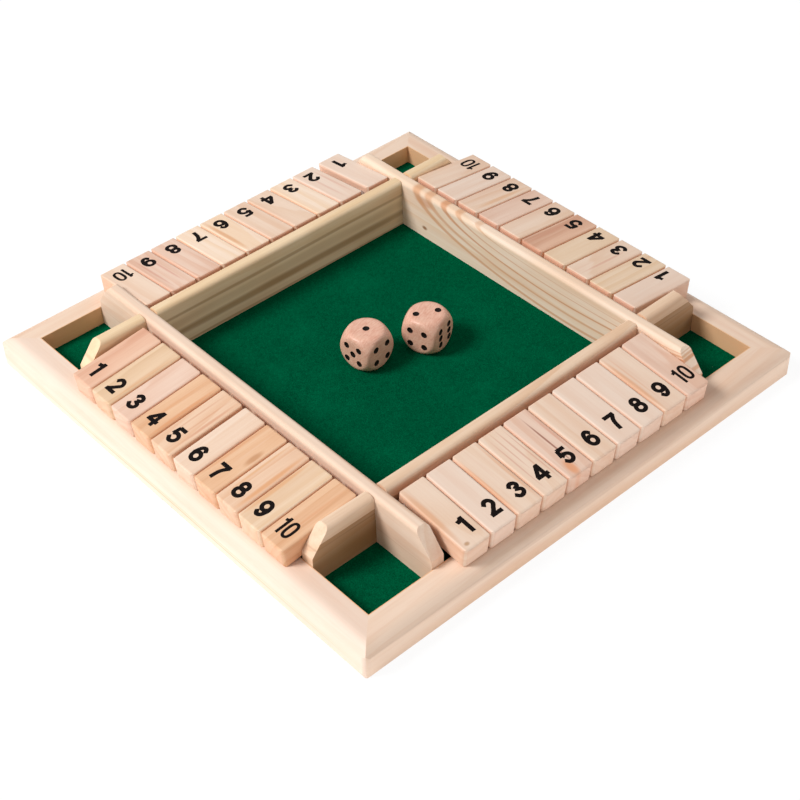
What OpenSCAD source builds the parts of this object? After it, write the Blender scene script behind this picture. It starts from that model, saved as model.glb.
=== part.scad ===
// Four-sided shut the box game: a square wooden tray lined with felt, ringed by
// forty numbered tiles that turn up on hidden rods, with two dice in the middle.
// Millimetres, +Z up. The origin is the middle of the underside.

/* [Frame] */
// Outside length of each side of the board
board_side = 220; // [212:1:300]
// Width of a frame rail, from the outside to the inside
rail_w = 12; // [11:0.5:18]
// Height of a frame rail
rail_h = 13.2; // [12:0.1:15]
// How far the rounded shoulder reaches in over the top of a rail
shoulder_w = 5.5; // [3:0.5:5.5]
// Radius of the rounded shoulder
shoulder_r = 6; // [6:0.5:9]
// Radius of the eased bottom edge
foot_round = 1.2; // [0.4:0.1:2]
// Radius of the frame's four upright outside corners
corner_round = 2.4; // [1:0.2:4]

/* [Floor] */
// Thickness of the plywood base board
base_t = 3.6; // [3:0.1:5]
// Height of the base board above the table
base_lift = 0.2; // [0.1:0.1:0.8]
// How far the base board reaches in under a rail
rabbet_w = 6; // [5:0.5:8]
// Thickness of the felt
felt_t = 1.2; // [0.6:0.1:2]

/* [Walls] */
// Inside length of each side of the dice tray
tray_side = 128; // [127:0.5:136]
// Thickness of a wall strip
wall_t = 5.6; // [5:0.1:6.6]
// Height of a wall strip above the felt
wall_h = 22; // [21:0.5:26]
// Radius of the two rounded top edges
wall_round = 2; // [0.5:0.1:2.4]
// Length of the sloped cut at each end
end_run = 8; // [4:0.5:12]
// Height of the upright part at each end, above the felt
end_foot_h = 12; // [9:0.5:16]

/* [Tiles] */
// Width of a tile
tile_w = 12.2; // [10:0.1:12.3]
// Length of a tile
tile_len = 34.2; // [32:0.1:35]
// Thickness of a tile
tile_t = 8.8; // [7:0.1:9.4]
// Radius of the rounded edges
tile_round = 1; // [0.4:0.1:1.4]
// Radius of the four upright corners of a tile
tile_corner = 2; // [1:0.1:3]
// Gap between neighbouring tiles
tile_gap = 0.35; // [0.2:0.05:0.45]
// Gap between the last tile of a row and the wall beside it
row_gap = 0.25; // [0.2:0.05:0.5]
// Rod centre to the tile's inner end
pivot_in = 4; // [3.2:0.1:5]
// Number of south tiles that lie before the row's loose gap
south_before_gap = 0; // [0:1:10]
// Number of east tiles that lie before the row's loose gap
east_before_gap = 0; // [0:1:10]
// Number of north tiles that lie before the row's loose gap
north_before_gap = 1; // [0:1:10]
// Number of west tiles that lie before the row's loose gap
west_before_gap = 5; // [1:1:10]
// Share of the west row's loose space that lies before its first tile
west_lead = 0.65; // [0:0.05:1]

/* [Rods] */
// Diameter of a tile rod
rod_d = 3; // [2:0.1:3.4]
// Height of the rods above the felt
rod_h = 15.9; // [15:0.1:16.2]
// Clearance between a rod and a tile, on the radius
rod_clear = 0.08; // [0.03:0.01:0.1]
// Depth of the blind hole for a rod's end in a wall
rod_seat = 3.4; // [2:0.1:4]
// Least gap between a turning tile and the wall behind it
swing_gap = 0.35; // [0.2:0.05:0.6]
// Gap between a lying tile and the rail under it
rest_gap = 0.05; // [0.02:0.01:0.2]

/* [Dice] */
// Length of a die's side
die_side = 16; // [12:0.5:18]
// Diameter of the ball that rounds the die's corners
die_ball = 21; // [21:0.2:24]
// Diameter of a pip
pip_d = 2.8; // [1.8:0.1:3]
// Depth of a pip's dish
pip_depth = 0.4; // [0.2:0.05:0.6]
// Distance from one pip to the next
pip_pitch = 3.2; // [3:0.1:3.6]
// First die: left or right of the middle
die_one_x = -7.4; // [-12:0.1:-4]
// First die: behind or before the middle
die_one_y = 6.1; // [-20:0.1:20]
// First die: turn about the vertical
die_one_turn = 6.3; // [0:0.1:90]
// Second die: left or right of the middle
die_two_x = 16.6; // [14:0.1:24]
// Second die: behind or before the middle
die_two_y = -2.8; // [-20:0.1:20]
// Second die: turn about the vertical
die_two_turn = 16.9; // [0:0.1:90]

/* [Brads] */
// Diameter of a brad's shank
brad_d = 1.2; // [0.9:0.1:1.6]
// Length of a brad
brad_len = 9; // [7:0.5:11]
// Diameter of a brad's head
brad_head_d = 2.6; // [2:0.1:4]
// Thickness of a brad's head
brad_head_t = 0.6; // [0.4:0.1:1]
// Distance of a rail's outer brads from its middle
rail_brad_x = 70; // [40:1:90]
// Distance of a wall's brads from its middle
wall_brad_x = 40; // [20:1:55]

/* [Hidden] */
// Clearance of glued and nailed joints, on each side
fit_gap = 0.1;
// Clearance of a rod's end or a brad's shank in its hole, on the radius
pin_gap = 0.02;
// How far a cutting shape runs past the face that it cuts
over = 1;

half_side = board_side / 2;
inner_side = board_side - 2 * rail_w;
side_h = rail_h - shoulder_r + sqrt(pow(shoulder_r, 2) - pow(shoulder_w, 2));
rabbet_h = base_lift + base_t;
base_side = inner_side + 2 * (rabbet_w - fit_gap);
felt_top = rabbet_h + felt_t;

wall_len = inner_side - 2 * fit_gap;
wall_mid = tray_side / 2 + wall_t / 2;
wall_out = tray_side / 2 + wall_t;
lap_h = wall_h / 2;

// The tile's inner edges swing on this radius, so the rod stands that far off the wall
inner_swing = norm([pivot_in - tile_round, tile_t / 2 - tile_round]) + tile_round;
pivot_out = wall_out + inner_swing + swing_gap;
rod_z = felt_top + rod_h;
rod_len = tray_side + 2 * (rod_seat - fit_gap);

// A lying tile leans outwards until the edge of its underside meets the rail
lean_reach = tile_len - pivot_in - tile_round;
lean_rise = tile_t / 2 - tile_round;
lean_drop = rod_z - tile_round - rail_h - rest_gap;
lean = asin(lean_drop / norm([lean_reach, lean_rise])) - atan(lean_rise / lean_reach);

tile_count = 10;
tile_pitch = tile_w + tile_gap;
row_slack = tray_side - 2 * row_gap - tile_count * tile_pitch + tile_gap;
before_gap = [south_before_gap, east_before_gap, north_before_gap, west_before_gap];
lead = [0, 0, 0, west_lead];

dish_r = (pow(pip_d / 2, 2) + pow(pip_depth, 2)) / (2 * pip_depth);
brad_top = base_lift + brad_len;

SOUTH = 0;
EAST = 1;
NORTH = 2;
WEST = 3;
SIDES = [SOUTH, EAST, NORTH, WEST];
SIDE_NAMES = ["south", "east", "north", "west"];

pine = [0.93, 0.8, 0.66];
pine_light = [0.95, 0.84, 0.71];
pine_pink = [0.93, 0.76, 0.63];
plywood = [0.82, 0.68, 0.5];
felt_green = [0, 0.36, 0.2];
beech = [0.85, 0.66, 0.53];
steel = [0.7, 0.71, 0.73];

function side_node(what, side) = str(what, "_", SIDE_NAMES[side]);
function tile_node(side, number) =
    str("tile_", SIDE_NAMES[side], "_", number < 10 ? "0" : "", number);

$fn = 64;

// Places what is drawn for the south side on one of the four sides
module on_side(side) {
    rotate([0, 0, 90 * side])
        children();
}

// Brad places of one side: three up into the rail and two up into the wall
module at_brads() {
    for (x = [-rail_brad_x, 0, rail_brad_x])
        translate([x, rail_w - rabbet_w / 2 - half_side, 0])
            children();
    for (x = [-wall_brad_x, wall_brad_x])
        translate([x, -wall_mid, 0])
            children();
}

module brad() {
    translate([0, 0, base_lift])
        cylinder(d = brad_head_d, h = brad_head_t);
    translate([0, 0, base_lift])
        cylinder(d = brad_d, h = brad_len);
}

module brad_hole() {
    cylinder(d = brad_d + 2 * pin_gap, h = brad_top + pin_gap);
}

module brad_head_hole() {
    translate([0, 0, -over])
        cylinder(d = brad_head_d + 2 * fit_gap, h = over + base_lift + brad_head_t);
}

module base_brads() {
    color(steel)
        for (side = SIDES)
            on_side(side)
                at_brads()
                    brad();
}

module base_board() {
    color(plywood)
        difference() {
            translate([-base_side / 2, -base_side / 2, base_lift])
                cube([base_side, base_side, base_t]);
            for (side = SIDES)
                on_side(side)
                    at_brads() {
                        brad_hole();
                        brad_head_hole();
                    }
        }
}

module felt_lining() {
    felt_side = inner_side - 2 * fit_gap;
    color(felt_green)
        difference() {
            translate([-felt_side / 2, -felt_side / 2, rabbet_h])
                cube([felt_side, felt_side, felt_t]);
            for (side = SIDES)
                on_side(side)
                    at_brads()
                        brad_hole();
        }
}

// A rectangle with rounded corners, about its middle
module rounded_rectangle(a, b, r) {
    square([a, b - 2 * r], center = true);
    square([a - 2 * r, b], center = true);
    for (x = [r - a / 2, a / 2 - r], y = [r - b / 2, b / 2 - r])
        translate([x, y])
            circle(r = r);
}

// Section of a rail: x runs in from the outside face, y is the height
module rail_section() {
    difference() {
        intersection() {
            square([rail_w, rail_h]);
            union() {
                translate([shoulder_w, rail_h - shoulder_r])
                    circle(r = shoulder_r);
                translate([shoulder_w, 0])
                    square([rail_w - shoulder_w, rail_h]);
                square([rail_w, side_h]);
            }
        }
        translate([rail_w - rabbet_w, -over])
            square([rabbet_w + over, over + rabbet_h]);
        difference() {
            translate([-over, -over])
                square(over + foot_round);
            translate([foot_round, foot_round])
                circle(r = foot_round);
        }
    }
}

// One moulding of the frame, with a mitre at each end
module frame_rail(side) {
    color(pine_light)
        on_side(side)
            difference() {
                intersection() {
                    translate([0, -half_side, 0])
                        rotate([90, 0, 90])
                            linear_extrude(height = board_side, center = true)
                                rail_section();
                    linear_extrude(height = rail_h)
                        polygon([[-half_side, -half_side], [half_side, -half_side], [0, 0]]);
                    linear_extrude(height = rail_h)
                        rounded_rectangle(board_side, board_side, corner_round);
                }
                at_brads()
                    brad_hole();
            }
}

// Long side view of a wall strip, with the sloped cut at each end
module wall_outline() {
    end_x = wall_len / 2;
    polygon([
        [-end_x, 0], [end_x, 0], [end_x, end_foot_h], [end_x - end_run, wall_h],
        [end_run - end_x, wall_h], [-end_x, end_foot_h]
    ]);
}

// Section of a wall strip, with its rounded top edges
module wall_section() {
    translate([-wall_t / 2, 0])
        square([wall_t, wall_h - wall_round]);
    translate([wall_round - wall_t / 2, 0])
        square([wall_t - 2 * wall_round, wall_h]);
    for (y = [-1, 1])
        translate([y * (wall_t / 2 - wall_round), wall_h - wall_round])
            circle(r = wall_round);
}

// The east and west strips lie over the south and north ones at the four crossings
module wall_strip(side) {
    laps_over = side == EAST || side == WEST;
    color(pine)
        on_side(side)
            difference() {
                translate([0, -wall_mid, felt_top])
                    difference() {
                        intersection() {
                            rotate([90, 0, 0])
                                linear_extrude(height = wall_t, center = true)
                                    wall_outline();
                            rotate([90, 0, 90])
                                linear_extrude(height = wall_len, center = true)
                                    wall_section();
                        }
                        for (x = [-wall_mid, wall_mid])
                            translate([x, 0, lap_h + (laps_over ? -wall_h / 2 : wall_h / 2)])
                                cube([wall_t + 2 * fit_gap, wall_t + 2 * over, wall_h], center = true);
                        for (x = [-pivot_out, pivot_out])
                            translate([x, wall_t / 2 + over, rod_h])
                                rotate([90, 0, 0])
                                    cylinder(d = rod_d + 2 * pin_gap, h = rod_seat + over);
                    }
                at_brads()
                    brad_hole();
            }
}

// The rod that a row of tiles turns on
module tile_rod(side) {
    color(steel)
        on_side(side)
            translate([-rod_len / 2, -pivot_out, rod_z])
                rotate([0, 90, 0])
                    cylinder(d = rod_d, h = rod_len);
}

// A block with all twelve edges rounded, about its middle
module rounded_block(width, length, height) {
    intersection() {
        linear_extrude(height = height, center = true)
            rounded_rectangle(width, length, tile_corner);
        rotate([90, 0, 0])
            linear_extrude(height = length, center = true)
                rounded_rectangle(width, height, tile_round);
        rotate([90, 0, 90])
            linear_extrude(height = width, center = true)
                rounded_rectangle(length, height, tile_round);
    }
}

function tile_x(side, number) =
    row_gap + (number - 0.5) * tile_pitch - tile_gap / 2 - tray_side / 2
    + row_slack * (number > before_gap[side] ? 1 : lead[side]);

// A numbered tile, lying down with its outer end on the rail
module tile(side, number) {
    color(number % 3 == 1 ? pine_pink : pine_light)
        on_side(side)
            translate([tile_x(side, number), -pivot_out, rod_z])
                rotate([lean, 0, 0])
                    difference() {
                        translate([0, pivot_in - tile_len / 2, 0])
                            rounded_block(tile_w, tile_len, tile_t);
                        rotate([0, 90, 0])
                            cylinder(d = rod_d + 2 * rod_clear, h = tile_w + 2 * over, center = true);
                    }
}

// Places of the pips on one face, in steps of the pip pitch
function pip_places(count) = concat(
    count % 2 == 1 ? [[0, 0]] : [],
    count > 1 ? [[-1, 1], [1, -1]] : [],
    count > 3 ? [[-1, -1], [1, 1]] : [],
    count == 6 ? [[-1, 0], [1, 0]] : []
);

module face_pips(count) {
    for (place = pip_places(count))
        translate([place.x * pip_pitch, place.y * pip_pitch, die_side / 2 + dish_r - pip_depth])
            sphere(r = dish_r);
}

// A wooden die. The counts are those of its top, front and left faces
module die(top, front, left) {
    color(beech)
        translate([0, 0, felt_top + die_side / 2])
            difference() {
                intersection() {
                    cube(die_side, center = true);
                    sphere(d = die_ball);
                }
                face_pips(top);
                rotate([180, 0, 0])
                    face_pips(7 - top);
                rotate([90, 0, 0])
                    face_pips(front);
                rotate([-90, 0, 0])
                    face_pips(7 - front);
                rotate([90, 0, -90])
                    face_pips(left);
                rotate([90, 0, 90])
                    face_pips(7 - left);
            }
}

module die_one() {
    translate([die_one_x, die_one_y, 0])
        rotate([0, 0, die_one_turn])
            die(top = 1, front = 4, left = 5);
}

module die_two() {
    translate([die_two_x, die_two_y, 0])
        rotate([0, 0, die_two_turn])
            die(top = 2, front = 6, left = 4);
}

base_board();
felt_lining();
base_brads();
for (side = SIDES) {
    frame_rail(side);
    wall_strip(side);
    tile_rod(side);
    for (number = [1:tile_count])
        tile(side, number);
}
die_one();
die_two();
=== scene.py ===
import math
import random

import bpy
from mathutils import Matrix, Vector


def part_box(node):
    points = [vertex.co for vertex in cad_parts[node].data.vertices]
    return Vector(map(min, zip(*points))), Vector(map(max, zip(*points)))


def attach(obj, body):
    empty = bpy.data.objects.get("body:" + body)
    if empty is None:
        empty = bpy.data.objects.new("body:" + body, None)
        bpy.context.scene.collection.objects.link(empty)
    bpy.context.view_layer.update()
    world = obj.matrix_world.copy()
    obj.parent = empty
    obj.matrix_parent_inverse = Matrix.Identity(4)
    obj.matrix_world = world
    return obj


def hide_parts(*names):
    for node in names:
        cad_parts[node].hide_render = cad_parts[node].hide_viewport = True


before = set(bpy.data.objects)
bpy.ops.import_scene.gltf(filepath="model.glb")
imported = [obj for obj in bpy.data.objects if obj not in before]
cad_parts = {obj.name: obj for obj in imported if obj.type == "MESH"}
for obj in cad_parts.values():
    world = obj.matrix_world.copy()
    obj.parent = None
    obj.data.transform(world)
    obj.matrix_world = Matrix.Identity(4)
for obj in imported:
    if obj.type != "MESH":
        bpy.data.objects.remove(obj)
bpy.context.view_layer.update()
mm = 0.001
sides = ["south", "east", "north", "west"]   # the order in which the rows run round the tray


# small helpers for modelling

def clearSelection():
    if bpy.context.mode != "OBJECT":
        bpy.ops.object.mode_set(mode="OBJECT")
    bpy.ops.object.select_all(action="DESELECT")


def makeActive(piece):
    clearSelection()
    piece.select_set(True)
    bpy.context.view_layer.objects.active = piece


def openMesh():
    bpy.ops.object.mode_set(mode="EDIT")
    bpy.ops.mesh.select_all(action="SELECT")


def closeMesh():
    bpy.ops.object.mode_set(mode="OBJECT")


def addObject(name, data):
    made = bpy.data.objects.new(name, data)
    bpy.context.scene.collection.objects.link(made)
    return made


def settle(piece, place=Matrix.Identity(4)):
    # the place goes into the mesh, and the object back to the origin
    bpy.context.view_layer.update()
    piece.data.transform(place @ piece.matrix_world)
    piece.matrix_world = Matrix.Identity(4)
    piece.data.update()


def copyOf(piece, name):
    twin = piece.copy()
    twin.data = piece.data.copy()
    twin.name = twin.data.name = name
    bpy.context.scene.collection.objects.link(twin)
    return twin


def applyModifiers(piece):
    makeActive(piece)
    for modifier in list(piece.modifiers):
        bpy.ops.object.modifier_apply(modifier=modifier.name)


def smoothSides(piece, degrees):
    makeActive(piece)
    bpy.ops.object.shade_smooth_by_angle(angle=math.radians(degrees))


def middleOf(node):
    low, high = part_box(node)
    return (Vector(low) + Vector(high)) / 2


def quarterTurns(k):
    # from the south side to side k, in degrees
    return 90 * k


# camera at the photograph's angle

cameraSettings = {
    "azimuth": -40.849,      # degrees, 0 looks along +Y
    "elevation": 41.958,
    "roll": -1.918,
    "distance": 0.631341,    # metres from the aim point
    "aim": (-0.010383, -0.016076, 0.0),
    "lens": 73.31,           # mm
    "sensor": 36,
}


def addCamera(s):
    azimuth, elevation, roll = (math.radians(s[k]) for k in ("azimuth", "elevation", "roll"))
    back = Vector((math.sin(azimuth) * math.cos(elevation),
                   -math.cos(azimuth) * math.cos(elevation), math.sin(elevation)))
    level = Vector((0, 0, 1)).cross(back).normalized()
    upright = back.cross(level)
    right = level * math.cos(roll) + upright * math.sin(roll)
    up = upright * math.cos(roll) - level * math.sin(roll)
    data = bpy.data.cameras.new("photoCamera")
    data.lens, data.sensor_width = s["lens"], s["sensor"]
    camera = addObject("photoCamera", data)
    place = Vector(s["aim"]) + back * s["distance"]
    turn = Matrix((right, up, back)).transposed().to_4x4()
    camera.matrix_world = Matrix.Translation(place) @ turn
    bpy.context.scene.camera = camera


addCamera(cameraSettings)
print("camera placed")


# shader maths: a wrapped socket takes the usual operators

class Wire:
    def __init__(self, shader, socket):
        self.shader, self.socket = shader, socket

    def maths(self, operation, *values):
        return self.shader.node("Math", {"operation": operation},
                                **{f"i{n}": value for n, value in enumerate(values)})

    def __add__(self, other): return self.maths("ADD", self, other)
    def __radd__(self, other): return self.maths("ADD", other, self)
    def __sub__(self, other): return self.maths("SUBTRACT", self, other)
    def __rsub__(self, other): return self.maths("SUBTRACT", other, self)
    def __mul__(self, other): return self.maths("MULTIPLY", self, other)
    def __rmul__(self, other): return self.maths("MULTIPLY", other, self)
    def __truediv__(self, other): return self.maths("DIVIDE", self, other)
    def __rtruediv__(self, other): return self.maths("DIVIDE", other, self)
    def __pow__(self, other): return self.maths("POWER", self, other)
    def __rpow__(self, other): return self.maths("POWER", other, self)
    def __abs__(self): return self.maths("ABSOLUTE", self)

    def whole(self):
        return self.maths("FLOOR", self)

    def fraction(self):
        return self.maths("FRACT", self)

    def step(self, low, high):
        # smooth ramp from 0 at low to 1 at high
        return self.shader.node("MapRange", {"interpolation_type": "SMOOTHSTEP"},
                                Value=self, From_Min=low, From_Max=high)

    def other(self, out):
        # another output of the same node
        return Wire(self.shader, self.socket.node.outputs[out])


class Shader:
    def __init__(self, name):
        self.material = bpy.data.materials.new(name)
        self.material.use_nodes = True
        self.tree = self.material.node_tree
        self.tree.nodes.clear()
        self.output = self.tree.nodes.new("ShaderNodeOutputMaterial")

    def node(self, kind, settings=None, out=0, **sockets):
        # any node: its settings first, then the values or links of its sockets,
        # which go by name, or by number as i0, i1 and so on
        made = self.tree.nodes.new("ShaderNode" + kind)
        for key, value in (settings or {}).items():
            setattr(made, key, value)
        for key, value in sockets.items():
            slot = made.inputs[int(key[1:]) if key[1:].isdigit() else key.replace("_", " ")]
            if isinstance(value, Wire):
                self.tree.links.new(value.socket, slot)
            else:
                slot.default_value = value
        return Wire(self, made.outputs[out])

    def place(self, location=(0, 0, 0), rotation=(0, 0, 0)):
        # the spot on the piece, seen from its own middle and along its own axes
        here = self.node("TexCoord", out=3)
        return self.node("Mapping", {"vector_type": "TEXTURE"}, Vector=here,
                         Location=location, Rotation=rotation)

    def stretched(self, here, scale, shift=(0, 0, 0)):
        return self.node("Mapping", {"vector_type": "POINT"}, Vector=here,
                         Scale=scale, Location=shift)

    def noise(self, here, scale, detail=2.0, roughness=0.5):
        # scale is in waves to the metre
        return self.node("TexNoise", Vector=here, Scale=scale, Detail=detail, Roughness=roughness)

    def cells(self, here, scale):
        return self.node("TexVoronoi", {"feature": "F1"}, Vector=here, Scale=scale)

    def randomFor(self, number):
        # a random value from 0 to 1 for each whole number
        return self.node("TexWhiteNoise", {"noise_dimensions": "1D"}, W=number)

    def parts(self, here):
        x = self.node("SeparateXYZ", Vector=here)
        return x, x.other(1), x.other(2)

    def mix(self, mask, first, second):
        return self.node("Mix", {"data_type": "RGBA"}, out=2,
                         i0=mask, i6=linear(first), i7=linear(second))

    def layers(self, colour, *coats):
        # coats of colour over each other, each with its mask
        for mask, coat in coats:
            colour = self.mix(mask, colour, coat)
        return colour

    def bump(self, height, strength, distance):
        return self.node("Bump", Strength=strength, Distance=distance, Height=height)

    def show(self, surface):
        self.tree.links.new(surface.socket, self.output.inputs[0])
        return self.material

    def finish(self, **sockets):
        return self.show(self.node("BsdfPrincipled", **sockets))


def linear(colour):
    # a screen colour such as "edc9a6" becomes the shader's linear colour, and a link stays
    if not isinstance(colour, str):
        return colour
    parts = [int(colour[i:i + 2], 16) / 255 for i in (0, 2, 4)]
    return (*(p / 12.92 if p <= 0.04045 else ((p + 0.055) / 1.055) ** 2.4 for p in parts), 1)


def dress(node, material):
    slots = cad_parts[node].data.materials
    if len(slots) == 0:
        slots.append(material)
    for i in range(len(slots)):
        slots[i] = material


# pine: growth rings round a pith that runs along the piece

pineTones = {
    # early wood, late wood, stain
    "chalk": ("f1d9c7", "ecccb6", "e2b99e"),
    "pale": ("f1d6c0", "e7c2a4", "dba686"),
    "cream": ("efd3b6", "e3bc94", "d3a072"),
    "pink": ("eecfbb", "e1b297", "cf9678"),
    "peach": ("eecbae", "e0ab84", "cf8f66"),
    "orange": ("ebbf9a", "d99e72", "c68352"),
    "blush": ("edc4a9", "dda486", "c98567"),
    "rose": ("e6ba9e", "cf997c", "b7795c"),
    "tan": ("e9c9a8", "d6ad84", "c39366"),
    "bright": ("f9e1cb", "f1cda9", "e2ad82"),
    "gold": ("f4d9b4", "e5bd8c", "d09a68"),
    "amber": ("f0d2b6", "e2b690", "c8946a"),
}
pineSettings = {
    # waves to the metre of what disturbs the rings and the tone
    "wander": 60.0,
    "tangle": 260.0,
    "fibre": 1300.0,
    "cloud": 150.0,
    "blush": 45.0,
    "wanderRings": 1.6,      # how many rings the two shift the pattern by
    "tangleRings": 0.35,
    "darkening": (0.2, 0.9),         # share of a year in which its ring darkens
    "yearEnd": (0.91, 1.0),          # and in which it turns pale again
    "faintestYear": 0.3,     # how dark the ring of the palest year is
    "yearRange": 0.9,
    "fibreGloss": "fbeee2",  # the lightest fibres
    "roughness": 0.55,
    "specular": 0.32,
    "bump": (0.1, 0.0003),   # strength, and height in metres
    "spotEdge": (0.35, 1.15),        # a mark, painted shade included, fades between these shares of its half sizes
    "archThinness": 30,      # how many times thinner than its half sizes an arch's line is
    "edgeWaver": 0.35,       # mm, for a waver of 1
    "sawEdge": 0.1,          # mm over which a face's colour begins: end grain, and on some faces painted shade
    "outerTop": (5.6, 6.6),  # mm above the middle, where the painted shade on an outer face ends
}


def marksAndPaintedShade(wood, spot, colour, marks, waver, upright, s):
    # each mark, a stain in the wood or a band of painted shade: place across (or up) and along the
    # piece, half sizes (mm), colour and strength;
    # below 0 it is a thin arch of grain instead of a filled spot
    x, y, z = spot
    for across, along, wide, long, tint, strength in marks:
        dx = ((z if upright else x) - across * mm + waver * (s["edgeWaver"] * mm)) / (wide * mm)
        dy = (y - along * mm) / (long * mm)
        far = (dx * dx + dy * dy) ** 0.5
        if strength < 0:
            far = abs(far - 1) * s["archThinness"]
        colour = wood.mix((1 - far.step(*s["spotEdge"])) * abs(strength), colour, tint)
    return colour


def sawnSide(way, spot, s):
    # how far out a point lies towards the sawn face
    x, y, z = spot
    if way == "across":
        return x
    if way == "length":
        return y
    if way == "outer":
        # a whole metre is taken off above the top of the painted shade
        low, high = s["outerTop"]
        return 0 - x - z.step(low * mm, high * mm)
    return abs(x if way == "side" else y)


def pick(table, key):
    # what a piece has of its own, or else what all of its kind have
    return table.get(key, table.get("all", ()))


def pine(key, tone, turn, seed, piece, s):
    # turn and lean bring the piece's length onto the local Y axis
    wood = Shader(f"{piece['material']}_{key}")
    chance = random.Random(seed)
    early, late, stain = pineTones[tone]
    here = wood.place(middleOf(f"{piece['node']}_{key}"),
                      (math.radians(piece["lean"]), 0, math.radians(turn)))
    shift = [chance.uniform(-3, 3) for _ in range(3)]
    away = chance.uniform(*piece["pith"]) * mm
    bearing = math.radians(chance.uniform(15, 165)) * chance.choice((-1, 1))
    slope = [chance.uniform(-0.05, 0.05), chance.uniform(-0.09, 0.09)]
    flow = wood.stretched(here, (1, 0.14, 1), shift)
    wander = wood.noise(flow, s["wander"], roughness=0.45) - 0.5
    tangle = wood.noise(flow, s["tangle"]) - 0.5
    spot = x, y, z = wood.parts(here)
    across = x - y * slope[0] - away * math.cos(bearing)
    depth = z - y * slope[1] - away * math.sin(bearing)
    radius = (across * across + depth * depth) ** 0.5
    ringWidth, contrast = pick(piece["rings"], key)
    ring = (radius / (ringWidth * mm) + wander * s["wanderRings"]
            + tangle * s["tangleRings"] + shift[0])
    phase = ring.fraction()
    # each year's ring darkens slowly, then ends at once
    year = wood.randomFor(ring.whole())
    band = (phase.step(*s["darkening"]) * (1 - phase.step(*s["yearEnd"]))
            * (s["faintestYear"] + year * s["yearRange"]))
    fibre = wood.noise(wood.stretched(here, (1, 0.03, 1), shift), s["fibre"], 3.0, 0.6)
    cloud = wood.noise(wood.stretched(here, (1, 0.1, 1), shift[::-1]), s["cloud"], 1.0)
    blush = wood.noise(here, s["blush"], 1.0)
    colour = wood.layers(early,
                         (band * contrast, late),
                         ((cloud - 0.5) * 1.3, stain),
                         ((blush - 0.5) * 0.9, late),
                         ((0.5 - fibre) * 0.75, stain),
                         ((fibre - 0.56) * 0.7, s["fibreGloss"]))
    colour = marksAndPaintedShade(wood, spot, colour, pick(piece["marks"], key), wander * piece["waver"],
                    piece["upright"], s)
    # faces given another colour: end grain, and painted shade where a face lies in shadow
    for way, start, tint, strength in pick(piece["cuts"], key):
        face = sawnSide(way, spot, s).step(start * mm, (start + s["sawEdge"]) * mm)
        colour = wood.mix(face * strength, colour, tint)
    return wood.finish(Base_Color=colour, Roughness=s["roughness"] + (fibre - 0.5) * 0.2,
                       Normal=wood.bump(fibre * 0.7 + band * 0.3, *s["bump"]),
                       Specular_IOR_Level=s["specular"])


def dressPine(key, tone, turn, seed, piece):
    dress(f"{piece['node']}_{key}", pine(key, tone, turn, seed, piece, pineSettings))


# frame rails, tray walls and tiles

# rings: mm from one growth ring to the next, and how much the late wood shows
# pith: nearest and farthest place of the pith, mm from the piece's middle
# cuts: faces of another colour, end grain and painted shade, where each begins (mm from the
# middle), colour, strength
railSettings = {
    "node": "frame_rail",
    "material": "railPine",
    "seed": 40,
    "lean": 0,
    "rings": {"all": (5.0, 0.3)},
    "pith": (25, 60),
    "upright": True,         # marks are placed by height
    "waver": 9.0,            # how much a mark's edge wanders with the grain
    "tones": {"all": "pale", "west": "chalk"},
    "marks": {
        # up, along, half sizes (mm), colour, strength
        # the second south mark, a grey-brown band 2.6 mm up, is painted shade along the rail's
        # shoulder
        "south": [(-3.6, 0, 3.6, 120, "f0bf96", 0.35), (2.6, 0, 1.3, 120, "d3b29c", 0.5)],
        "east": [(-2.0, 0, 0.4, 120, "dfae80", 0.5)],
        "north": [(1.0, 0, 0.4, 120, "dfae80", 0.5)],
        "west": [(-2.4, 0, 0.32, 120, "e8a85e", 0.7), (-1.2, 0, 0.25, 120, "ecc08a", 0.6)],
    },
    # the orange on each rail's inner face, towards the tray, is painted warm shade
    "cuts": {"all": [("across", 5.6, "e9b582", 0.8)]},
}
wallSettings = {
    "node": "wall_strip",
    "material": "wallPine",
    "seed": 60,
    "lean": 0,
    "rings": {"south": (4.2, 0.5), "east": (4.6, 0.5), "north": (7.0, 0.35), "west": (3.6, 0.45)},
    "pith": (12, 30),
    "upright": True,
    "waver": 9.0,
    "tones": {"south": "amber", "east": "bright", "north": "gold", "west": "pale"},
    "marks": {
        # up, along, half sizes (mm), colour, strength
        # the wide brown band low on the south wall is painted shade of the gap by the tiles and of
        # the well; the thin dark line above it is grain
        "south": [(3.2, 0, 0.6, 120, "7b5431", 0.5), (-5.5, 0, 8.5, 120, "8f6222", 0.7)],
        "east": [(-6.0, -50, 1.1, 1.8, "9d683e", 0.9), (7.2, -50, 2.4, 7, "d4885a", 0.5),
                 (13, 30, 22, 86, "d99a6a", -0.7), (13, 30, 18, 79, "d99a6a", -0.6),
                 (13, 30, 13.5, 70, "d58f5e", -0.75), (13, 34, 9.5, 66, "d99a6a", -0.6),
                 (13, 40, 6, 62, "dba478", -0.5)],
        "north": [(4.3, 0, 1.0, 120, "99652f", 0.5), (0.4, 0, 2.6, 120, "c09a70", 0.35),
                  (-4.2, 0, 2.2, 120, "956433", 0.6), (-10.2, 0, 0.9, 120, "a5733f", 0.5)],
        "west": [(-3.4, 0, 0.35, 120, "cf9f80", 0.6)],
    },
    # the south wall's outer face is painted dark brown below its top: painted shade of the gap and
    # the well
    "cuts": {"south": [("outer", 2.69, "94601c", 0.62)]},
}
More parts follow.
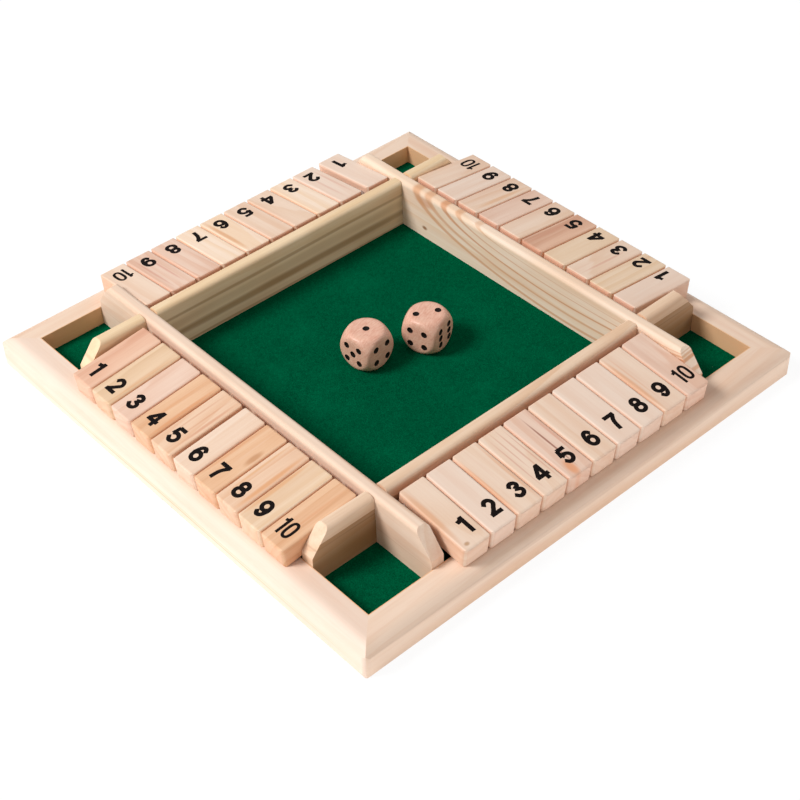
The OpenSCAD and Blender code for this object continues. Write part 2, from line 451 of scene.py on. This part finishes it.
tileSettings = {
    "node": "tile",
    "material": "tilePine",
    "seed": 100,
    "lean": 6.4326,          # degrees that a lying tile slopes down outwards
    "length": 34.2,          # mm
    "thickness": 8.8,
    "rings": {"all": (3.6, 0.55)},
    "pith": (14, 34),
    "upright": False,        # marks are placed across the tile
    "waver": 4.0,
    "tones": {
        # tiles 1 to 10
        "south": ["pale", "chalk", "pale", "pale", "pink",
                  "pale", "chalk", "chalk", "pale", "pink"],
        "east": ["chalk", "cream", "pale", "cream", "rose",
                 "pale", "pink", "pale", "chalk", "pale"],
        "north": ["chalk", "chalk", "bright", "pale", "pale",
                  "bright", "bright", "pink", "pink", "pale"],
        "west": ["blush", "tan", "pink", "orange", "peach",
                 "pale", "orange", "peach", "cream", "orange"],
    },
    "marks": {
        # across, along, half sizes (mm), colour, strength
        "south_01": [(-4.6, 2, 1.6, 16, "e2a271", 0.5), (-3.2, -14.5, 1.3, 1.0, "b98a5e", 0.75)],
        "south_03": [(-5.4, 0, 1.0, 18, "dd955e", 0.6), (5.0, 0, 0.9, 18, "e0a070", 0.5)],
        "south_04": [(2.0, 4, 0.5, 14, "cf9078", 0.5), (-3.0, 0, 0.4, 16, "d49a84", 0.5),
                     (-0.6, 6, 0.35, 12, "cf9078", 0.45), (4.4, 0, 0.4, 16, "d49a84", 0.5)],
        "south_05": [(0.6, 0, 0.5, 15, "8c3d22", 0.75), (-1.6, -13.5, 2.2, 5, "e58f52", 0.65),
                     (4.6, 4, 0.8, 14, "dba18a", 0.5)],
        "south_09": [(-4.8, 0, 1.3, 18, "e09a66", 0.6), (-2.4, 4, 0.5, 14, "e2a57c", 0.4)],
        "east_03": [(-1.0, 2, 0.7, 14, "d9a08c", 0.5)],
        "east_05": [(2.5, 0, 1.2, 18, "c8876c", 0.4)],
        "east_08": [(-3.4, 0, 1.4, 16, "dfa878", 0.5)],
        "north_02": [(-3.0, 0, 0.7, 16, "dfae9c", 0.5), (1.6, 0, 0.7, 16, "e0b3a0", 0.5)],
        "north_06": [(4.2, 0, 1.2, 17, "dd9a62", 0.6)],
        "north_09": [(-2.0, 0, 0.6, 16, "cf8672", 0.5), (3.0, 0, 0.6, 16, "d08e78", 0.5)],
        "west_02": [(4.4, 0, 1.0, 17, "dba274", 0.45)],
        "west_04": [(4.8, 0, 1.1, 17, "d98c55", 0.5), (-1.0, 0, 0.8, 16, "dfa072", 0.4)],
        "west_05": [(4.0, 2, 0.8, 15, "d08a66", 0.55), (-2.4, 2, 0.5, 15, "d59a7a", 0.45),
                    (1.0, 3, 0.4, 14, "d59a7a", 0.45)],
        "west_07": [(3.8, 3, 1.6, 5, "b4733f", 0.55), (-4.6, 0, 0.9, 17, "dd9e70", 0.5)],
        "west_08": [(4.2, 0, 1.3, 18, "dd9456", 0.6), (-3.6, 2, 0.7, 16, "e0a672", 0.5)],
        "west_09": [(-4.6, 0, 1.4, 18, "dd9a5e", 0.6)],
        "west_10": [(1.6, 2, 0.8, 16, "dd9a6c", 0.45)],
    },
    # the orange of the side faces is partly the wood's own colour, partly painted warm shade of
    # the gaps; the darker inner end (length) is painted shade of the gap by the wall; both ends
    # show end grain
    "cuts": {"all": [("side", 5.72, "dc9a70", 0.35), ("length", 16.7, "cf8c6c", 0.65),
                     ("end", 16.8, "e0ad92", 0.35)]},
}

for k, side in enumerate(sides):
    for strip in (railSettings, wallSettings):
        # a rail's or wall's length lies across the row's own direction
        dressPine(side, pick(strip["tones"], side), quarterTurns(k + 1), strip["seed"] + k, strip)
    for number, tone in enumerate(tileSettings["tones"][side], 1):
        dressPine(f"{side}_{number:02d}", tone, quarterTurns(k),
                  tileSettings["seed"] + 10 * k + number, tileSettings)
print("pine done")


# steel rods and brads, and the base board's plywood

steelSettings = {
    "scratches": 900.0,      # to the metre
    "dark": (0.48, 0.48, 0.5, 1),
    "light": (0.62, 0.62, 0.63, 1),
    "roughness": 0.25,
}
plywoodSettings = {
    "ply": 0.9,              # mm
    "grain": 240.0,          # waves to the metre
    "sweep": 22.0,
    "ringsInSweep": 14.0,
    "wood": ("e6cda4", "c79d6a"),
    "glue": "a87c4e",
    "roughness": 0.7,
    "bump": (0.15, 0.0003),
}


def plainSteel(s):
    steel = Shader("drawnSteel")
    scratch = steel.noise(steel.place(), s["scratches"], 3.0)
    return steel.finish(Base_Color=steel.mix(scratch, s["dark"], s["light"]),
                        Metallic=1.0, Roughness=s["roughness"] + scratch * 0.2)


def plywood(node, s):
    # plies of turned grain show at the edges, one veneer on the faces
    board = Shader("basePlywood")
    here = board.place(middleOf(node))
    height = board.parts(here)[2]
    tone = board.randomFor((height / (s["ply"] * mm) + 0.5).whole())
    grain = board.noise(board.stretched(here, (0.05, 1, 1)), s["grain"], 4.0, 0.6)
    sweep = board.noise(board.stretched(here, (0.2, 1, 1)), s["sweep"])
    rings = (sweep * s["ringsInSweep"]).fraction()
    colour = board.mix(rings.step(0.3, 1.0) * 0.5 + grain * 0.35, *s["wood"])
    colour = board.mix(tone * 0.35, colour, s["glue"])
    return board.finish(Base_Color=colour, Roughness=s["roughness"],
                        Normal=board.bump(grain, *s["bump"]))


drawnSteel = plainSteel(steelSettings)
for node in [f"tile_rod_{side}" for side in sides] + ["base_brads"]:
    dress(node, drawnSteel)
dress("base_board", plywood("base_board", plywoodSettings))
print("steel and plywood done")


# felt sheet over the whole floor

feltSettings = {
    "side": 0.1958,          # metres, the flat sheet's width and length
    "thickness": 0.0012,
    "cells": 110,            # grid cells along a side
    "waviness": 0.00005,     # how far the nap rises and falls
    "seed": 5,
    "smooth": 40,            # degrees
    "napWaves": 2400.0,      # to the metre
    "tuftWaves": 700.0,
    "patchWaves": 70.0,
    "lintCells": 95.0,
    "lintSize": (0.016, 0.034),      # from a speck's middle to its edge, in cells
    "lintRarity": (0.62, 0.66),      # share of the cells that hold none
    "nap": ("003722", "006a45"),
    "shade": "003520",       # between the tufts
    "worn": "007c52",        # in broad patches
    "lint": "b9cfc0",
    "bump": (0.6, 0.0004),
}


def feltMaterial(s):
    felt = Shader("greenFelt")
    here = felt.place()
    nap = felt.noise(here, s["napWaves"], 4.0, 0.75)
    tuft = felt.noise(here, s["tuftWaves"], 3.0, 0.6)
    patch = felt.noise(here, s["patchWaves"], 3.0)
    lint = felt.cells(here, s["lintCells"])
    keep = felt.node("TexWhiteNoise", Vector=lint.other(1))
    speck = (1 - lint.step(*s["lintSize"])) * keep.step(*s["lintRarity"])
    colour = felt.layers(felt.mix(nap.step(0.3, 0.7), *s["nap"]),
                         ((tuft - 0.42) * 1.5, s["shade"]),
                         ((patch - 0.5) * 0.6, s["worn"]),
                         (speck * 0.55, s["lint"]))
    return felt.finish(Base_Color=colour, Roughness=1.0, Specular_IOR_Level=0.0,
                       Normal=felt.bump(nap * 0.7 + tuft * 0.5, *s["bump"]))


def makeFelt(s):
    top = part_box("felt_lining")[1][2]
    clearSelection()
    bpy.ops.mesh.primitive_grid_add(x_subdivisions=s["cells"], y_subdivisions=s["cells"],
                                    size=s["side"], location=(0, 0, top - s["waviness"]))
    sheet = bpy.context.object
    sheet.name = sheet.data.name = "feltSheet"
    chance = random.Random(s["seed"])
    for vertex in sheet.data.vertices:
        vertex.co.z += chance.uniform(-1, 1) * s["waviness"]
    thick = sheet.modifiers.new("thickness", "SOLIDIFY")
    # a little thinner than the felt, so that the nap's valleys stay above the board
    thick.thickness, thick.offset = s["thickness"] - 3 * s["waviness"], -1
    applyModifiers(sheet)
    settle(sheet)
    sheet.data.materials.append(feltMaterial(s))
    smoothSides(sheet, s["smooth"])
    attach(sheet, "board")
    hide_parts("felt_lining")


makeFelt(feltSettings)
print("felt laid")


# dice: a cube with its corners turned round, and dished pips

dieSettings = {
    "half": 0.008,           # metres from the middle to a face
    "ball": 0.0105,          # radius that the corners are turned to
    "blend": 26,             # higher makes the edge between face and ball sharper
    "cuts": 31,              # cuts across each face of the cube
    "pipRadius": 0.0014,
    "pipDepth": 0.0004,
    "pipPitch": 0.0032,
    "pipLid": 0.0008,        # how far the cutter stands above the face
    "pipSegments": 40,
    "pipRings": 48,
    "smooth": 28,            # degrees
    "flecks": 1500.0,        # to the metre
    "clouds": 160.0,
    "pores": 1300.0,
    "blots": 900.0,
    "beech": ("dc9f86", "f3c5ae"),
    "cloud": "f0ccb2",
    "pore": "b98264",
    "paint": ("0e0705", "1c110d"),
    "bump": (0.12, 0.0002),
    "dice": {
        # turn in degrees, and the counts of the top, front and left faces
        "die_one": (6.3, (1, 4, 5)),
        "die_two": (16.9, (2, 6, 4)),
    },
}


def pipPlaces(count):
    places = [(0, 0)] if count % 2 else []
    if count > 1:
        places += [(-1, 1), (1, -1)]
    if count > 3:
        places += [(-1, -1), (1, 1)]
    if count == 6:
        places += [(-1, 0), (1, 0)]
    return places


def facesOf(top, front, left):
    # each face's count and its turn from the top, in pairs that add up to seven
    quarter = math.pi / 2
    tip = Matrix.Rotation(quarter, 4, "X")
    return [
        (top, Matrix.Identity(4)),
        (7 - top, Matrix.Rotation(math.pi, 4, "X")),
        (front, tip),
        (7 - front, Matrix.Rotation(-quarter, 4, "X")),
        (left, Matrix.Rotation(-quarter, 4, "Z") @ tip),
        (7 - left, Matrix.Rotation(quarter, 4, "Z") @ tip),
    ]


def dieBlank(s):
    clearSelection()
    bpy.ops.mesh.primitive_cube_add(size=2 * s["half"], location=(0, 0, 0))
    blank = bpy.context.object
    openMesh()
    bpy.ops.mesh.subdivide(number_cuts=s["cuts"])
    closeMesh()
    power = s["blend"]
    for vertex in blank.data.vertices:
        # the nearer of the cube's face and the ball, with a soft turn between them
        way = vertex.co.normalized()
        flat = s["half"] / max(abs(c) for c in way)
        vertex.co = way * (flat ** -power + s["ball"] ** -power) ** (-1 / power)
    blank.name = blank.data.name = "dieBlank"
    return blank


def pipCutter(s):
    dish = (s["pipRadius"] ** 2 + s["pipDepth"] ** 2) / (2 * s["pipDepth"])
    clearSelection()
    bpy.ops.mesh.primitive_uv_sphere_add(segments=s["pipSegments"], ring_count=s["pipRings"],
                                         radius=dish,
                                         location=(0, 0, s["half"] + dish - s["pipDepth"]))
    cutter = bpy.context.object
    # only the cap that dips into the face is kept, closed by a lid above it
    openMesh()
    bpy.ops.mesh.bisect(plane_co=(0, 0, s["half"] + s["pipLid"]), plane_no=(0, 0, 1),
                        use_fill=True, clear_outer=True)
    closeMesh()
    settle(cutter)
    return cutter


def beech(name, middle, turn, s):
    wood = Shader(name)
    here = wood.place(middle, (0, 0, math.radians(turn)))
    fleck = wood.noise(wood.stretched(here, (0.22, 1, 1)), s["flecks"], 3.0, 0.65)
    cloud = wood.noise(here, s["clouds"])
    pore = wood.cells(wood.stretched(here, (0.35, 1, 1)), s["pores"])
    colour = wood.layers(wood.mix(fleck.step(0.2, 0.8), *s["beech"]),
                         ((cloud - 0.45) * 0.9, s["cloud"]),
                         ((1 - pore.step(0.08, 0.24)) * 0.35, s["pore"]))
    return wood.finish(Base_Color=colour, Roughness=0.36 + fleck * 0.1,
                       Normal=wood.bump(fleck, *s["bump"]))


def pipPaint(s):
    paint = Shader("pipPaint")
    blot = paint.noise(paint.place(), s["blots"], 3.0)
    return paint.finish(Base_Color=paint.mix(blot, *s["paint"]), Roughness=0.5 + blot * 0.2,
                        Specular_IOR_Level=0.2)


def pipsOf(faces, cutter, paint, s):
    # one piece with all the pips of a die, to be cut away from it
    pips = []
    for facing, (number, turned) in enumerate(faces):
        for across, up in pipPlaces(number):
            pip = copyOf(cutter, f"pip_{facing}_{len(pips)}")
            settle(pip, turned @ Matrix.Translation((across * s["pipPitch"],
                                                     up * s["pipPitch"], 0)))
            pips.append(pip)
    makeActive(pips[0])
    for pip in pips:
        pip.select_set(True)
    bpy.ops.object.join()
    joined = pips[0]
    # the cut faces take the second material, as the paint is on the die
    for material in (None, paint):
        joined.data.materials.append(material)
    for face in joined.data.polygons:
        face.material_index = 1
    return joined


def makeDice(s):
    blank, cutter, paint = dieBlank(s), pipCutter(s), pipPaint(s)
    for name, (turn, counts) in s["dice"].items():
        die = copyOf(blank, name + "_turned")
        middle = middleOf(name)
        die.data.materials.append(beech("beech_" + name, middle, turn, s))
        die.data.materials.append(paint)
        pips = pipsOf(facesOf(*counts), cutter, paint, s)
        cut = die.modifiers.new("pips", "BOOLEAN")
        cut.operation, cut.solver, cut.object = "DIFFERENCE", "EXACT", pips
        applyModifiers(die)
        bpy.data.objects.remove(pips)
        settle(die, Matrix.Translation(middle) @ Matrix.Rotation(math.radians(turn), 4, "Z"))
        smoothSides(die, s["smooth"])
        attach(die, name)
        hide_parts(name)
    for spare in (blank, cutter):
        bpy.data.objects.remove(spare)


makeDice(dieSettings)
print("dice turned")


# numbers: strokes of ink, drawn once for each number and copied onto the tiles

numberSettings = {
    "height": 7.8,           # mm
    "widen": 1.08,           # across, against the figures' plain shape
    "stroke": 1.72,
    "thinStroke": 1.2,       # the two figures of ten are narrower and thinner
    "ink": 0.03,             # how far the ink stands above and sinks below the wood
    "inkColours": ("0d0706", "1d1310"),
    "wear": 1700.0,          # worn spots to the metre
    "smooth": 50,            # degrees
    "curveSteps": 10,
    "fromEnd": {"south": 8.9, "east": 7.7, "north": 8.0, "west": 8.2},
    "aside": {
        # each number stands a little off the middle of its tile
        "south": [1.9, 1.5, 1.1, 0.5, 0.7, 0.9, 1.0, 1.2, 1.1, 0.8],
        "east": [2.6, 1.6, 0.9, 0.8, 0.7, 0.6, 0.2, 0.3, 0.1, -0.2],
        "north": [-0.2, 0.3, -0.3, -0.5, -0.3, -0.2, -0.4, -0.4, -0.3, -0.5],
        "west": [-0.4, -0.3, -0.5, -0.6, -0.6, -0.6, -0.8, -0.8, -0.7, -0.7],
    },
}
# a figure is 1 high; each stroke is straight, curved or a ring (its middle and half sizes)
figureStrokes = {
    1: [("straight", [(0.08, -0.5), (0.08, 0.5)]),
        ("curved", [(-0.21, 0.27), (-0.02, 0.31), (0.07, 0.42)])],
    2: [("curved", [(-0.22, 0.19), (0, 0.4), (0.22, 0.19), (0.06, -0.1), (-0.2, -0.39)]),
        ("straight", [(-0.3, -0.4), (0.3, -0.4)])],
    3: [("curved", [(-0.21, 0.22), (0, 0.4), (0.2, 0.21), (-0.01, 0.045)]),
        ("curved", [(-0.03, 0.045), (0.23, -0.18), (0, -0.4), (-0.24, -0.2)])],
    4: [("straight", [(0.1, 0.42), (-0.25, -0.16)]), ("straight", [(-0.33, -0.19), (0.33, -0.19)]),
        ("straight", [(0.13, 0.5), (0.13, -0.5)])],
    5: [("straight", [(-0.17, 0.41), (0.26, 0.41)]), ("straight", [(-0.14, 0.42), (-0.2, -0.02)]),
        ("curved", [(-0.2, 0.0), (0.01, 0.1), (0.23, -0.14), (0, -0.41), (-0.24, -0.21)])],
    6: [("curved", [(0.21, 0.22), (0.02, 0.41), (-0.21, 0.04), (-0.2, -0.18)]),
        ("ring", [(0.01, -0.16), (0.21, 0.245)])],
    7: [("straight", [(-0.3, 0.41), (0.3, 0.41)]),
        ("curved", [(0.23, 0.4), (0.02, 0.06), (-0.08, -0.5)])],
    8: [("ring", [(0, 0.215), (0.175, 0.19)]), ("ring", [(0, -0.175), (0.215, 0.23)])],
    9: [("curved", [(-0.21, -0.22), (-0.02, -0.41), (0.21, -0.04), (0.2, 0.18)]),
        ("ring", [(-0.01, 0.16), (0.21, 0.245)])],
    10: [("straight", [(-0.23, -0.5), (-0.23, 0.5)]),
         ("curved", [(-0.44, 0.29), (-0.31, 0.32), (-0.24, 0.42)]),
         ("ring", [(0.2, 0), (0.185, 0.425)])],
}


def inkMaterial(s):
    ink = Shader("numberInk")
    wear = ink.noise(ink.place(), s["wear"], 3.0, 0.6)
    return ink.finish(Base_Color=ink.mix(wear.step(0.35, 0.8), *s["inkColours"]),
                      Roughness=0.6 + wear * 0.15, Specular_IOR_Level=0.12)


def addStroke(curve, kind, points, wide, high, steps):
    if kind == "ring":
        (cx, cy), (rx, ry) = points
        points = [(cx - rx, cy), (cx, cy + ry), (cx + rx, cy), (cx, cy - ry)]
    spline = curve.splines.new("BEZIER")
    spline.bezier_points.add(len(points) - 1)
    spline.use_cyclic_u = kind == "ring"
    spline.resolution_u = 1 if kind == "straight" else steps
    for knot, (px, py) in zip(spline.bezier_points, points):
        knot.co = (px * wide, py * high, 0)
        knot.handle_left_type = knot.handle_right_type = "VECTOR" if kind == "straight" else "AUTO"


def drawNumber(number, s):
    clearSelection()
    bpy.ops.curve.primitive_bezier_curve_add(location=(0, 0, 0))
    drawn = bpy.context.object
    curve = drawn.data
    curve.splines.clear()
    wide, stroke = (1, s["thinStroke"]) if number == 10 else (s["widen"], s["stroke"])
    for kind, points in figureStrokes[number]:
        addStroke(curve, kind, points, s["height"] * wide, s["height"], s["curveSteps"])
    curve.dimensions = "3D"
    curve.bevel_depth = stroke / 2
    curve.bevel_resolution = 2
    curve.use_fill_caps = True
    makeActive(drawn)
    bpy.ops.object.convert(target="MESH")
    drawn = bpy.context.object
    # from mm, and pressed flat
    settle(drawn, Matrix.Diagonal((mm, mm, mm * s["ink"] / (stroke / 2), 1)))
    drawn.name = drawn.data.name = f"number_{number}"
    return drawn


def printNumbers(s, tile):
    ink = inkMaterial(s)
    lean = Matrix.Rotation(math.radians(tile["lean"]), 4, "X")
    for number in range(1, 11):
        master = drawNumber(number, s)
        master.data.materials.append(ink)
        for k, side in enumerate(sides):
            name = f"tile_{side}_{number:02d}"
            stamped = copyOf(master, f"number_{side}_{number:02d}")
            onTile = Matrix.Translation((s["aside"][side][number - 1] * mm,
                                         (s["fromEnd"][side] - tile["length"] / 2) * mm,
                                         tile["thickness"] / 2 * mm))
            turned = Matrix.Rotation(math.radians(quarterTurns(k)), 4, "Z")
            settle(stamped, Matrix.Translation(middleOf(name)) @ turned @ lean @ onTile)
            smoothSides(stamped, s["smooth"])
            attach(stamped, name)
        bpy.data.objects.remove(master)


printNumbers(numberSettings, tileSettings)
print("numbers printed")


# floor, backdrop and lights

studioSettings = {
    "floorSide": 6,          # metres
    "floorColour": (0.9, 0.9, 0.9, 1),
    "whiteness": 1.04,       # the floor's glow to the camera, where 1 is white
    "whiteShare": 0.88,      # the rest of what the camera sees keeps the object's shadow
    "lift": 0.38,            # light that the white table gives back to the object's sides
    "liftColour": (1, 0.97, 0.94, 1),
    "world": 0.4,
    "lamps": {
        # place, size (metres), power (watts) and colour
        "keyLight": ((-1.09, 0.5, 1.27), 0.6, 24.5, (1, 1, 1)),
        "frontFill": ((0.75, -1.4, 0.28), 0.7, 3.2, (1, 0.95, 0.92)),
    },
}


def addFloor(s):
    clearSelection()
    bpy.ops.mesh.primitive_plane_add(size=s["floorSide"])
    floor = bpy.context.object
    floor.name = "studioFloor"
    white = Shader("studioWhite")
    diffuse = white.node("BsdfDiffuse", Color=s["floorColour"])
    glow = white.node("Emission", Color=(1, 1, 1, 1), Strength=s["whiteness"])
    lift = white.node("Emission", Color=s["liftColour"], Strength=s["lift"])
    seen = white.node("MixShader", i0=s["whiteShare"], i1=diffuse, i2=glow)
    unseen = white.node("AddShader", i0=diffuse, i1=lift)
    cameraRay = white.node("LightPath", out=0)
    whole = white.node("MixShader", i0=cameraRay, i1=unseen, i2=seen)
    floor.data.materials.append(white.show(whole))


def addLamp(name, place, size, power, colour):
    data = bpy.data.lights.new(name, "AREA")
    data.shape, data.size, data.energy, data.color = "DISK", size, power, colour
    lamp = addObject(name, data)
    # each lamp looks at the middle of the board
    turn = Vector(place).to_track_quat("Z", "Y").to_matrix().to_4x4()
    lamp.matrix_world = Matrix.Translation(place) @ turn


def addWorld(s):
    world = bpy.data.worlds.new("studioWorld")
    bpy.context.scene.world = world
    world.use_nodes = True
    background = world.node_tree.nodes["Background"]
    background.inputs["Color"].default_value = (1, 1, 1, 1)
    background.inputs["Strength"].default_value = s["world"]


addFloor(studioSettings)
for name, lamp in studioSettings["lamps"].items():
    addLamp(name, *lamp)
addWorld(studioSettings)
bpy.context.scene.view_settings.view_transform = "Standard"
print("stage lit")
